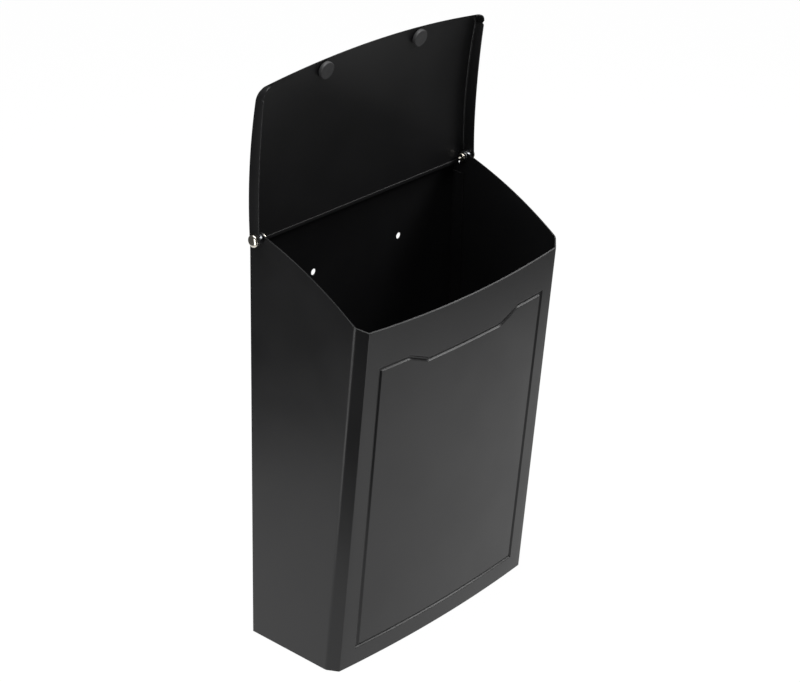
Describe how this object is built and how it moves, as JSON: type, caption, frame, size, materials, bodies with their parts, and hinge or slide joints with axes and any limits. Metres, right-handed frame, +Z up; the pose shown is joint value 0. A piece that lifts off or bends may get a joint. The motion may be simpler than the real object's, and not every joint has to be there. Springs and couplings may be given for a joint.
{
  "type": "wall mounted mailbox",
  "caption": "Wall mounted mailbox of folded black sheet steel, open at the top, with a crowned lid that turns on rivets and rests on rubber bumpers.",
  "frame": {"origin": "middle of the back panel's outer face, which lies against the wall", "axes": "+Z up, +Y into the wall, +X to the right seen from the front"},
  "size_m": [0.2564, 0.1213, 0.486],
  "materials": {
    "powder_coat": "satin black powder coat on steel sheet",
    "nickel_plate": "bright nickel plate",
    "zinc_plate": "zinc plate",
    "bumper_rubber": "matt grey rubber"
  },
  "bodies": {
    "box": {"body_wrap": "powder_coat", "back_panel": "powder_coat", "floor_panel": "powder_coat", "hinge_rivet_left": "nickel_plate", "hinge_rivet_right": "nickel_plate", "hinge_spacer_left": "zinc_plate", "hinge_spacer_right": "zinc_plate", "hinge_washer_left": "zinc_plate", "hinge_washer_right": "zinc_plate"},
    "lid": {"lid": "powder_coat", "bumper_left": "bumper_rubber", "bumper_right": "bumper_rubber"}
  },
  "joints": [
    {"name": "lid_hinge", "type": "hinge", "parent": "box", "child": "lid", "pos_m": [0, -0.0103, 0.17454], "axis": [1, 0, 0], "range_deg": [-3.5, 110.5]}
  ]
}
